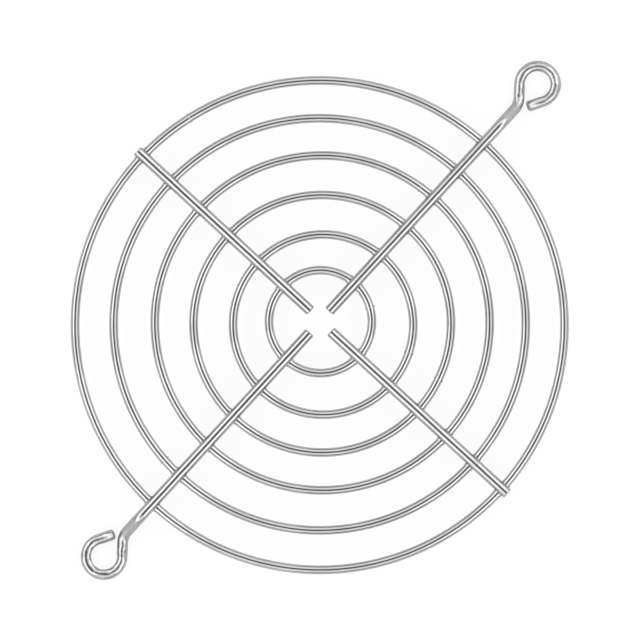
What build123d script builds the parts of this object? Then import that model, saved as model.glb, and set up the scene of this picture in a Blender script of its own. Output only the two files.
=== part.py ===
from build123d import *
import os
from math import cos, degrees, radians, sin, sqrt, tan

# A wire guard for an axial fan: round rings welded under four spokes. Two of the
# spokes run on past the rings, step down to the fan and end in an eye for a screw.
# The origin is at the middle of the fan's face, and +Z points away from the fan.

# Driving dimensions, in millimetres and degrees
fan_hole_spacing = 105.0  # from screw hole to screw hole along a side of the fan

spoke_wire = 2.5  # diameter
ring_wire = 2.0  # diameter
weld_sink = 0.3  # how far a weld presses a ring and a spoke into each other

ring_count = 6
first_ring_radius = 11.9  # to the middle of the wire
ring_pitch = 8.94

short_spoke_overhang = 0.35  # past the outer ring's wire
end_chamfer = 0.25  # on the cut ends of the wires

step_height = 4.8  # how far the eyes lie below the spokes
step_slope = 40.0
step_bend = 3.0  # radius of the bend at the top of the step, to the wire's middle

eye_bore = 6.0  # diameter of the mandrel that the eye is wound on
mandrel_print = 0.1  # how deep the mandrel marks the wire
eye_wrap_angle = 248.0  # how far the wire goes round the mandrel
eye_tail = 3.85  # how far the wire runs on after the eye
tail_lift = 0.5  # how far its cut end springs up off the fan
neck_turn = 40.0  # degrees between the spoke and the wire that runs onto the eye
neck_bend = 3.4  # radius of the bend at the foot of the step

seam_collar = 0.12  # how far the flash at a ring's butt weld stands proud
seam_length = 0.45

# Each ring as it was laid in the welding jig: how far off the middle it lies,
# and the bearing of the butt weld that closes it
ring_lays = [
    (-0.1, -0.3, 12.5),
    (0.5, -1.0, 338.5),
    (0.3, -0.8, 331.5),
    (0.3, -0.6, 51.0),
    (-0.3, -0.9, 218.5),
    (-0.3, -1.1, 119.5),
]

# Each spoke as it was laid: its bearing, and how far from the middle it starts. A
# short spoke also has how far its line runs to the left of the middle.
eye_spokes = {"eye_spoke_upper": (45.0, 2.8), "eye_spoke_lower": (225.0, 3.8)}
short_spokes = {
    "short_spoke_left": (134.8, 3.2, 0.0),
    "short_spoke_right": (315.0, 3.4, -0.35),
}

# Sizes that follow
spoke_radius = spoke_wire / 2
ring_wire_radius = ring_wire / 2
eye_height = spoke_radius
spoke_height = eye_height + step_height
ring_height = spoke_height - spoke_radius - ring_wire_radius + weld_sink
eye_distance = fan_hole_spacing / sqrt(2)
eye_radius = eye_bore / 2 + spoke_radius - mandrel_print


def ring_radius(number):
    """Return the radius of a ring to the middle of its wire; the innermost is 0."""
    return first_ring_radius + number * ring_pitch


def ring_lay(number):
    """Return a ring's offset from the middle and its seam's bearing."""
    return ring_lays[number % len(ring_lays)]


def crossing(number, bearing, aside):
    """Return how far out a spoke at this bearing, laid aside of the middle, crosses a ring."""
    shift_x, shift_y, seam = ring_lay(number)
    along = shift_x * cos(radians(bearing)) + shift_y * sin(radians(bearing))
    across = shift_y * cos(radians(bearing)) - shift_x * sin(radians(bearing)) - aside
    return along + sqrt(ring_radius(number) ** 2 - across**2)


def ring(number):
    """Return a ring: one round of wire with the flash of the butt weld that closes it."""
    shift_x, shift_y, seam = ring_lay(number)
    middle = Vector(shift_x, shift_y, ring_height)
    seam_arc = degrees(seam_length / ring_radius(number))
    section_plane = Plane(
        origin=middle,
        x_dir=(cos(radians(seam)), sin(radians(seam)), 0),
        z_dir=(sin(radians(seam)), -cos(radians(seam)), 0),
    )
    with BuildPart() as hoop:
        with BuildSketch(section_plane):
            with Locations((ring_radius(number), 0)):
                Circle(ring_wire_radius)
        revolve(axis=Axis(middle, (0, 0, 1)))
        with BuildSketch(section_plane):
            with Locations((ring_radius(number), 0)):
                Circle(ring_wire_radius + seam_collar)
        revolve(axis=Axis(middle, (0, 0, 1)), revolution_arc=seam_arc)
    return hoop.part


def eye_spoke(rings, bearing, inner_end):
    """Return a long spoke with its step and its eye, welded over the rings."""
    lay = Plane.XY.rotated((0, 0, bearing))
    step_foot = eye_distance - eye_radius / sin(radians(neck_turn))
    step_top = step_foot - step_height / tan(radians(step_slope))
    eye_start = 90 + neck_turn
    with BuildPart() as spoke:
        with BuildLine(lay) as route:
            FilletPolyline(
                (inner_end, 0, spoke_height),
                (step_top, 0, spoke_height),
                (step_foot, 0, eye_height),
                (
                    eye_distance + eye_radius * cos(radians(eye_start)),
                    eye_radius * sin(radians(eye_start)),
                    eye_height,
                ),
                radius=(step_bend, neck_bend),
            )
            eye = CenterArc((eye_distance, 0, eye_height), eye_radius, eye_start, -eye_wrap_angle)
            tail_end = (eye @ 1) + (eye % 1) * eye_tail + Vector(0, 0, tail_lift)
            tail = TangentArc(eye @ 1, tail_end, tangent=eye % 1)
        with BuildSketch(Plane(route.wire() @ 0, z_dir=route.wire() % 0)):
            Circle(spoke_radius)
        sweep(path=route.wire())
        rims = spoke.edges().filter_by(GeomType.CIRCLE)
        for cut_end in (route.wire() @ 0, tail @ 1):
            chamfer(rims.sort_by(lambda rim: (rim.arc_center - cut_end).length)[0], end_chamfer)
        with Locations(lay.from_local_coords((eye_distance, 0, eye_height))):
            Cylinder(eye_bore / 2, spoke_wire, mode=Mode.SUBTRACT)
        add(rings, mode=Mode.SUBTRACT)
    return spoke.part


def short_spoke(rings, bearing, inner_end, aside):
    """Return a straight spoke that ends just past the outer ring."""
    outer_end = crossing(ring_count - 1, bearing, aside) + ring_wire_radius + short_spoke_overhang
    lay = Plane.XY.rotated((0, 0, bearing))
    start = lay.from_local_coords((inner_end, aside, spoke_height))
    with BuildPart() as spoke:
        with BuildSketch(Plane(start, z_dir=lay.x_dir)):
            Circle(spoke_radius)
        extrude(amount=outer_end - inner_end)
        chamfer(spoke.edges().filter_by(GeomType.CIRCLE), end_chamfer)
        add(rings, mode=Mode.SUBTRACT)
    return spoke.part


os.makedirs("parts", exist_ok=True)

rings = [ring(number) for number in range(ring_count)]
for number, hoop in enumerate(rings, start=1):
    hoop.label = f"ring_{number}"
    export_step(hoop, f"parts/{hoop.label}.step")

for name, (bearing, inner_end) in eye_spokes.items():
    part = eye_spoke(rings, bearing, inner_end)
    part.label = name
    export_step(part, f"parts/{name}.step")

for name, (bearing, inner_end, aside) in short_spokes.items():
    part = short_spoke(rings, bearing, inner_end, aside)
    part.label = name
    export_step(part, f"parts/{name}.step")
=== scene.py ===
import bpy
from math import cos, pi, radians, sin, sqrt
from mathutils import Matrix, Vector, noise


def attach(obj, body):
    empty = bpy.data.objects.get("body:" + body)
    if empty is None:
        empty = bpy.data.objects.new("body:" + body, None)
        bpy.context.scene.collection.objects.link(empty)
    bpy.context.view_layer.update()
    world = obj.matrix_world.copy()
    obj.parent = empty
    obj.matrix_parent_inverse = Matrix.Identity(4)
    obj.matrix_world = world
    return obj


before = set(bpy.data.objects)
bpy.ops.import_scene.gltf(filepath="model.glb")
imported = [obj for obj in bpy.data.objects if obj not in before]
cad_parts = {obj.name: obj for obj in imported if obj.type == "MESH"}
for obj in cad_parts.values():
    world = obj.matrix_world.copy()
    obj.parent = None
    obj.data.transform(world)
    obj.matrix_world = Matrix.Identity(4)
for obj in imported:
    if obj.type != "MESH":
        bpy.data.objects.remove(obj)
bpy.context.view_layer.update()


# Camera: a long lens straight above the guard, as in the photograph, where the
# whole guard is turned by two and a half degrees and there is almost no perspective.
turn_in_view = radians(2.45)
picture_width = 640  # pixels
view_scale = 4325.0  # pixels to the metre, at the level of the wires
wire_level = 0.0045
lens = 500.0
sensor_width = 36

camera_height = picture_width / view_scale * lens / sensor_width
shift_in_view = Vector((-0.84 / view_scale, 0.35 / view_scale, 0))
middle_of_view = Matrix.Rotation(-turn_in_view, 4, "Z") @ shift_in_view
bpy.ops.object.select_all(action="DESELECT")
bpy.ops.object.camera_add(
    location=(middle_of_view.x, middle_of_view.y, wire_level + camera_height),
    rotation=(0, 0, -turn_in_view),
)
camera = bpy.context.object
camera.name = "camera"
camera.data.lens = lens
camera.data.sensor_width = sensor_width
camera.data.clip_start = 0.1
camera.data.clip_end = 20
bpy.context.scene.camera = camera
bpy.context.scene.view_settings.view_transform = "Standard"


# Studio: a white light tent. It is brightest half way up, falls off towards the
# horizon, and has a dark opening at the top for the lens. Four soft lamps stand
# at its corners, and two low strip lights light the steps of the long spokes.
def grey_steps(ramp, steps):
    """Give a colour ramp a grey at each place."""
    while len(ramp.elements) < len(steps):
        ramp.elements.new(1.0)
    for stop, (place, grey) in zip(ramp.elements, steps):
        stop.position = place
        stop.color = (grey, grey, grey, 1)


tent = bpy.data.worlds.new("light_tent")
bpy.context.scene.world = tent
tent.use_nodes = True
nodes, links = tent.node_tree.nodes, tent.node_tree.links
direction = nodes.new("ShaderNodeTexCoord")
upward = nodes.new("ShaderNodeSeparateXYZ")
cloth = nodes.new("ShaderNodeValToRGB")
links.new(direction.outputs["Generated"], upward.inputs[0])
links.new(upward.outputs["Z"], cloth.inputs["Fac"])
links.new(cloth.outputs["Color"], nodes["Background"].inputs["Color"])
nodes["Background"].inputs["Strength"].default_value = 1.43
tent_light = [
    (0.00, 0.16),
    (0.17, 0.24),
    (0.40, 0.50),
    (0.50, 1.00),
    (0.82, 1.00),
    (0.925, 0.66),
    (0.97, 0.30),
    (0.988, 0.06),
]
grey_steps(cloth.color_ramp, tent_light)

tent_radius = 0.62
for bearing, from_zenith, tall, wide, power in (
    (32, 50, 0.34, 0.42, 0.35),
    (156, 50, 0.34, 0.42, 0.35),
    (211, 50, 0.34, 0.42, 0.35),
    (320, 50, 0.34, 0.42, 0.35),
    (45, 79, 0.12, 0.90, 0.28),
    (225, 79, 0.12, 0.90, 0.28),
):
    outward = tent_radius * sin(radians(from_zenith))
    up = tent_radius * cos(radians(from_zenith))
    bpy.ops.object.light_add(
        type="AREA",
        location=(outward * cos(radians(bearing)), outward * sin(radians(bearing)), up),
        rotation=(0, radians(from_zenith), radians(bearing)),
    )
    lamp = bpy.context.object
    lamp.name = f"lamp_{bearing}"
    lamp.data.shape = "RECTANGLE"
    lamp.data.size = tall
    lamp.data.size_y = wide
    lamp.data.energy = power
    lamp.visible_camera = False


# Floor: a sheet of matt white board. It shows nearly white to the lens and in the
# metal, and keeps a part of the guard's soft shadow.
even_white = 0.85  # how much of what is seen of the board is plain white

bpy.ops.object.select_all(action="DESELECT")
bpy.ops.mesh.primitive_plane_add(size=6.0)
floor = bpy.context.object
floor.name = "floor"
board = bpy.data.materials.new("white_board")
board.use_nodes = True
nodes, links = board.node_tree.nodes, board.node_tree.links
matt = nodes["Principled BSDF"]
matt.inputs["Base Color"].default_value = (0.93, 0.93, 0.93, 1)
matt.inputs["Roughness"].default_value = 0.9
matt.inputs["Specular IOR Level"].default_value = 0.1
white = nodes.new("ShaderNodeEmission")
white.inputs["Strength"].default_value = 1.0
ray = nodes.new("ShaderNodeLightPath")
seen = ray.outputs["Is Camera Ray"]
for kind in ("Is Glossy Ray", "Is Transmission Ray"):
    either = nodes.new("ShaderNodeMath")
    either.operation = "MAXIMUM"
    links.new(seen, either.inputs[0])
    links.new(ray.outputs[kind], either.inputs[1])
    seen = either.outputs[0]
share = nodes.new("ShaderNodeMath")
share.operation = "MULTIPLY"
share.inputs[1].default_value = even_white
links.new(seen, share.inputs[0])
blend = nodes.new("ShaderNodeMixShader")
links.new(share.outputs[0], blend.inputs[0])
links.new(matt.outputs[0], blend.inputs[1])
links.new(white.outputs[0], blend.inputs[2])
links.new(blend.outputs[0], nodes["Material Output"].inputs["Surface"])
floor.data.materials.append(board)


# Rings: drawn steel wire, bent round, butt welded and plated with nickel and
# chrome. The die's fine lines run along the wire, and the plating has a slow
# ripple and a slightly duller bloom here and there.
ring_centres = [
    (-0.0001, -0.0003),
    (0.0005, -0.0010),
    (0.0003, -0.0008),
    (0.0003, -0.0006),
    (-0.0003, -0.0009),
    (-0.0003, -0.0011),
]
ring_radii = [0.0119 + step * 0.00894 for step in range(len(ring_centres))]
ring_level = 0.0041
line_scale_along = 120.0  # of the die's lines, along the wire and across it
line_scale_across = 9000.0


def plating(name, tone, dulness):
    """Return a bright plated metal, its nodes and links, and the socket for its die lines.

    That socket wants a point that hardly changes along the wire.
    """
    finish = bpy.data.materials.new(name)
    finish.use_nodes = True
    nodes, links = finish.node_tree.nodes, finish.node_tree.links
    metal = nodes["Principled BSDF"]
    metal.inputs["Metallic"].default_value = 1.0
    metal.inputs["Specular Tint"].default_value = (0.35, 0.35, 0.35, 1)

    place = nodes.new("ShaderNodeTexCoord")
    bloom = nodes.new("ShaderNodeTexNoise")
    bloom.inputs["Scale"].default_value = 150.0
    bloom.inputs["Detail"].default_value = 3.0
    links.new(place.outputs["Object"], bloom.inputs["Vector"])
    shade = nodes.new("ShaderNodeValToRGB")
    shade.color_ramp.elements[0].position = 0.35
    shade.color_ramp.elements[0].color = (tone * 0.9, tone * 0.895, tone * 0.885, 1)
    shade.color_ramp.elements[1].position = 0.62
    shade.color_ramp.elements[1].color = (tone, tone * 1.003, tone * 1.01, 1)
    links.new(bloom.outputs["Fac"], shade.inputs["Fac"])
    links.new(shade.outputs["Color"], metal.inputs["Base Color"])
    gloss = nodes.new("ShaderNodeMapRange")
    gloss.inputs["From Min"].default_value = 0.3
    gloss.inputs["From Max"].default_value = 0.7
    gloss.inputs["To Min"].default_value = dulness * 1.5
    gloss.inputs["To Max"].default_value = dulness * 0.8
    links.new(bloom.outputs["Fac"], gloss.inputs["Value"])
    links.new(gloss.outputs["Result"], metal.inputs["Roughness"])

    lines = nodes.new("ShaderNodeTexNoise")
    lines.inputs["Scale"].default_value = 1.0
    lines.inputs["Detail"].default_value = 2.0
    die_mark = nodes.new("ShaderNodeBump")
    die_mark.inputs["Strength"].default_value = 0.5
    die_mark.inputs["Distance"].default_value = 0.000004
    links.new(lines.outputs["Fac"], die_mark.inputs["Height"])
    ripple = nodes.new("ShaderNodeTexNoise")
    ripple.inputs["Scale"].default_value = 220.0
    ripple.inputs["Detail"].default_value = 1.0
    links.new(place.outputs["Object"], ripple.inputs["Vector"])
    wave = nodes.new("ShaderNodeBump")
    wave.inputs["Strength"].default_value = 0.6
    wave.inputs["Distance"].default_value = 0.00015
    links.new(ripple.outputs["Fac"], wave.inputs["Height"])
    links.new(die_mark.outputs["Normal"], wave.inputs["Normal"])
    links.new(wave.outputs["Normal"], metal.inputs["Normal"])
    return finish, nodes, links, lines.inputs["Vector"]


def along_ring(nodes, links, centre, socket):
    """Give the socket a point that hardly changes along a wire bent round this centre."""
    place = nodes.new("ShaderNodeTexCoord")
    centred = nodes.new("ShaderNodeVectorMath")
    centred.operation = "SUBTRACT"
    centred.inputs[1].default_value = (*centre, 0)
    links.new(place.outputs["Object"], centred.inputs[0])
    parts = nodes.new("ShaderNodeSeparateXYZ")
    links.new(centred.outputs[0], parts.inputs[0])
    flat = nodes.new("ShaderNodeCombineXYZ")
    links.new(parts.outputs["X"], flat.inputs["X"])
    links.new(parts.outputs["Y"], flat.inputs["Y"])
    radius = nodes.new("ShaderNodeVectorMath")
    radius.operation = "LENGTH"
    links.new(flat.outputs[0], radius.inputs[0])
    section = nodes.new("ShaderNodeCombineXYZ")
    links.new(radius.outputs["Value"], section.inputs["X"])
    links.new(parts.outputs["Z"], section.inputs["Y"])
    fine = nodes.new("ShaderNodeVectorMath")
    fine.operation = "SCALE"
    fine.inputs["Scale"].default_value = line_scale_across
    links.new(section.outputs[0], fine.inputs[0])
    slow = nodes.new("ShaderNodeVectorMath")
    slow.operation = "MULTIPLY_ADD"
    slow.inputs[1].default_value = (line_scale_along, line_scale_along, line_scale_along)
    links.new(centred.outputs[0], slow.inputs[0])
    links.new(fine.outputs[0], slow.inputs[2])
    links.new(slow.outputs[0], socket)


for number, centre in enumerate(ring_centres, start=1):
    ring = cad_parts[f"ring_{number}"]
    finish, nodes, links, point = plating(f"ring_plating_{number}", tone=0.52, dulness=0.05)
    along_ring(nodes, links, centre, point)
    ring.data.materials.clear()
    ring.data.materials.append(finish)


# Spokes: thicker drawn wire of the same plating, laid over the rings. The two long
# ones step down past the outer ring and are wound into an eye, where the bending
# tools have left the wire a little wavy, and duller on the step and round the eye.
spokes = {  # the bearing, how far the line runs beside the middle, and the dulness
    "eye_spoke_upper": (45, 0, 0.12),
    "short_spoke_left": (134.8, 0, 0.07),
    "eye_spoke_lower": (225, 0, 0.05),
    "short_spoke_right": (315, -0.00035, 0.12),
}
eye_distance = 0.07425
eye_level = 0.00125
wear_reach = 0.016  # from the eye's middle to past the top of the step
wear = [  # how far along that reach, and how much rougher the plating is there
    (0.36, 0.10),
    (0.48, 0.32),
    (0.72, 0.32),
    (0.84, 0.00),
]


def worn_by_tools(nodes, links, eye_middle):
    """Make the plating wavy round an eye, and duller there and on the step."""
    metal = nodes["Principled BSDF"]
    place = nodes.new("ShaderNodeTexCoord")
    to_eye = nodes.new("ShaderNodeVectorMath")
    to_eye.operation = "DISTANCE"
    to_eye.inputs[1].default_value = eye_middle
    links.new(place.outputs["Object"], to_eye.inputs[0])

    near_eye = nodes.new("ShaderNodeMapRange")
    near_eye.inputs["From Min"].default_value = 0.0085
    near_eye.inputs["From Max"].default_value = 0.0055
    links.new(to_eye.outputs["Value"], near_eye.inputs["Value"])
    tool_marks = nodes.new("ShaderNodeTexNoise")
    tool_marks.inputs["Scale"].default_value = 330.0
    tool_marks.inputs["Detail"].default_value = 1.5
    links.new(place.outputs["Object"], tool_marks.inputs["Vector"])
    marked = nodes.new("ShaderNodeMath")
    marked.operation = "MULTIPLY"
    links.new(tool_marks.outputs["Fac"], marked.inputs[0])
    links.new(near_eye.outputs["Result"], marked.inputs[1])
    wavy = nodes.new("ShaderNodeBump")
    wavy.inputs["Strength"].default_value = 1.0
    wavy.inputs["Distance"].default_value = 0.00055
    links.new(marked.outputs[0], wavy.inputs["Height"])
    links.new(metal.inputs["Normal"].links[0].from_socket, wavy.inputs["Normal"])
    links.new(wavy.outputs["Normal"], metal.inputs["Normal"])

    reached = nodes.new("ShaderNodeMath")
    reached.operation = "MULTIPLY"
    reached.inputs[1].default_value = 1 / wear_reach
    links.new(to_eye.outputs["Value"], reached.inputs[0])
    worn = nodes.new("ShaderNodeValToRGB")
    grey_steps(worn.color_ramp, wear)
    links.new(reached.outputs[0], worn.inputs["Fac"])
    duller = nodes.new("ShaderNodeMath")
    duller.operation = "ADD"
    links.new(worn.outputs["Color"], duller.inputs[0])
    links.new(metal.inputs["Roughness"].links[0].from_socket, duller.inputs[1])
    links.new(duller.outputs[0], metal.inputs["Roughness"])


for name, (bearing, beside, dulness) in spokes.items():
    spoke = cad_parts[name]
    finish, nodes, links, point = plating(f"{name}_plating", tone=0.52, dulness=dulness)
    place = nodes.new("ShaderNodeTexCoord")
    straight = nodes.new("ShaderNodeMapping")
    straight.vector_type = "TEXTURE"
    straight.inputs["Rotation"].default_value = (0, 0, radians(bearing))
    straight.inputs["Scale"].default_value = (
        1 / line_scale_along,
        1 / line_scale_across,
        1 / line_scale_across,
    )
    links.new(place.outputs["Object"], straight.inputs["Vector"])
    links.new(straight.outputs[0], point)
    if name.startswith("eye"):
        outward = Vector((cos(radians(bearing)), sin(radians(bearing)), 0))
        worn_by_tools(nodes, links, outward * eye_distance + Vector((0, 0, eye_level)))
    spoke.data.materials.clear()
    spoke.data.materials.append(finish)


# Welds: each ring is resistance welded under each spoke. The ring is squeezed a
# little wider there, and the plated metal runs up from it to the spoke in a fillet.
ring_wire_radius = 0.001
spoke_wire_radius = 0.00125
spoke_above_ring = 0.00195  # from the middle of one wire to the middle of the other
ring_stub = 0.0042  # how much of each wire the fillet is modelled on
spoke_stub = 0.0034
squeeze = (  # millimetres from the spoke's line, and how much wider the ring is there
    (0, 1.2),
    (0.9, 1.19),
    (1.3, 1.15),
    (1.7, 1.06),
)
grain_scale = 2500
grain_depth = 0.00003

bpy.ops.object.select_all(action="DESELECT")
bpy.ops.mesh.primitive_cylinder_add(
    vertices=40, radius=ring_wire_radius, depth=ring_stub, rotation=(0, pi / 2, 0)
)
saddle = bpy.context.object
bpy.ops.object.transform_apply(location=True, rotation=True, scale=True)
bpy.ops.object.mode_set(mode="EDIT")
for cut in (-1.7, -1.3, -0.9, 0, 0.9, 1.3, 1.7):
    bpy.ops.mesh.select_all(action="SELECT")
    bpy.ops.mesh.bisect(plane_co=(cut / 1000, 0, 0), plane_no=(1, 0, 0))
for cut, widening in squeeze:
    bpy.ops.mesh.select_all(action="DESELECT")
    bpy.ops.object.mode_set(mode="OBJECT")
    for vertex in saddle.data.vertices:
        vertex.select = abs(abs(vertex.co.x) - cut / 1000) < 1e-6
    bpy.ops.object.mode_set(mode="EDIT")
    bpy.ops.transform.resize(value=(1, widening, 1), center_override=(0, 0, 0))
bpy.ops.object.mode_set(mode="OBJECT")
bpy.ops.mesh.primitive_cylinder_add(
    vertices=48,
    radius=spoke_wire_radius,
    depth=spoke_stub,
    location=(0, 0, spoke_above_ring),
    rotation=(pi / 2, 0, 0),
)
saddle.select_set(True)
bpy.context.view_layer.objects.active = saddle
bpy.ops.object.join()
bpy.ops.object.transform_apply(location=True, rotation=True, scale=True)
melt = saddle.modifiers.new("melt", "REMESH")
melt.mode = "VOXEL"
melt.voxel_size = 0.00007
run = saddle.modifiers.new("run", "SMOOTH")
run.factor = 0.5
run.iterations = 34
light = saddle.modifiers.new("light", "DECIMATE")
light.ratio = 0.14
for modifier in list(saddle.modifiers):
    bpy.ops.object.modifier_apply(modifier=modifier.name)
bpy.ops.object.shade_smooth()

weld_finish, nodes, links, point = plating("weld_plating", tone=0.48, dulness=0.12)
place = nodes.new("ShaderNodeTexCoord")
links.new(place.outputs["Object"], point)
for name, (bearing, beside, _) in spokes.items():
    side = name.split("_")[-1]
    along = Vector((cos(radians(bearing)), sin(radians(bearing)), 0))
    across = Vector((-along.y, along.x, 0))
    for number, (centre, radius) in enumerate(zip(ring_centres, ring_radii), start=1):
        middle = Vector((*centre, 0))
        aside = middle.dot(across) - beside
        out = middle.dot(along) + sqrt(radius**2 - aside**2)
        slant = aside / radius
        bpy.ops.object.select_all(action="DESELECT")
        saddle.select_set(True)
        bpy.context.view_layer.objects.active = saddle
        bpy.ops.object.duplicate()
        weld = bpy.context.object
        weld.name = f"weld_{number}_{side}"
        weld.data.name = weld.name
        turned = 1 if number % 2 else -1
        for vertex in weld.data.vertices:
            x, y, z = vertex.co.x * turned, vertex.co.y * turned, vertex.co.z
            spot = Vector((x, y, z)) * grain_scale + Vector((bearing, number, 0))
            grain = noise.noise(spot) * grain_depth
            y += x * slant - x * x / (2 * radius) + grain
            vertex.co = along * (out + y) + across * (beside + x + grain)
            vertex.co.z = ring_level + z
        weld.data.materials.clear()
        weld.data.materials.append(weld_finish)
        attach(weld, "root")
bpy.data.objects.remove(saddle)


# Seams: where the ends of each ring are butt welded, a smooth bead of squeezed
# out metal goes round the wire, in the middle of the seam's plain flash.
seam_bearings = (12.5, 338.5, 331.5, 51.0, 218.5, 119.5)
half_flash = 0.000225

for number, bearing in enumerate(seam_bearings, start=1):
    centre, radius = ring_centres[number - 1], ring_radii[number - 1]
    bearing = radians(bearing) + half_flash / radius
    bpy.ops.object.select_all(action="DESELECT")
    bpy.ops.mesh.primitive_torus_add(
        major_segments=36,
        minor_segments=14,
        major_radius=0.00094,
        minor_radius=0.00022,
        location=(
            centre[0] + radius * cos(bearing),
            centre[1] + radius * sin(bearing),
            ring_level,
        ),
        rotation=(pi / 2, 0, bearing),
    )
    seam = bpy.context.object
    seam.name = f"seam_{number}"
    seam.data.name = seam.name
    bpy.ops.object.mode_set(mode="EDIT")
    bpy.ops.mesh.select_all(action="SELECT")
    bpy.ops.transform.vertex_random(offset=0.00002, seed=number)
    bpy.ops.object.mode_set(mode="OBJECT")
    bpy.ops.object.transform_apply(location=True, rotation=True, scale=True)
    round_off = seam.modifiers.new("round_off", "SUBSURF")
    round_off.levels = round_off.render_levels = 1
    bpy.ops.object.modifier_apply(modifier=round_off.name)
    bpy.ops.object.shade_smooth()
    seam.data.materials.append(weld_finish)
    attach(seam, "root")
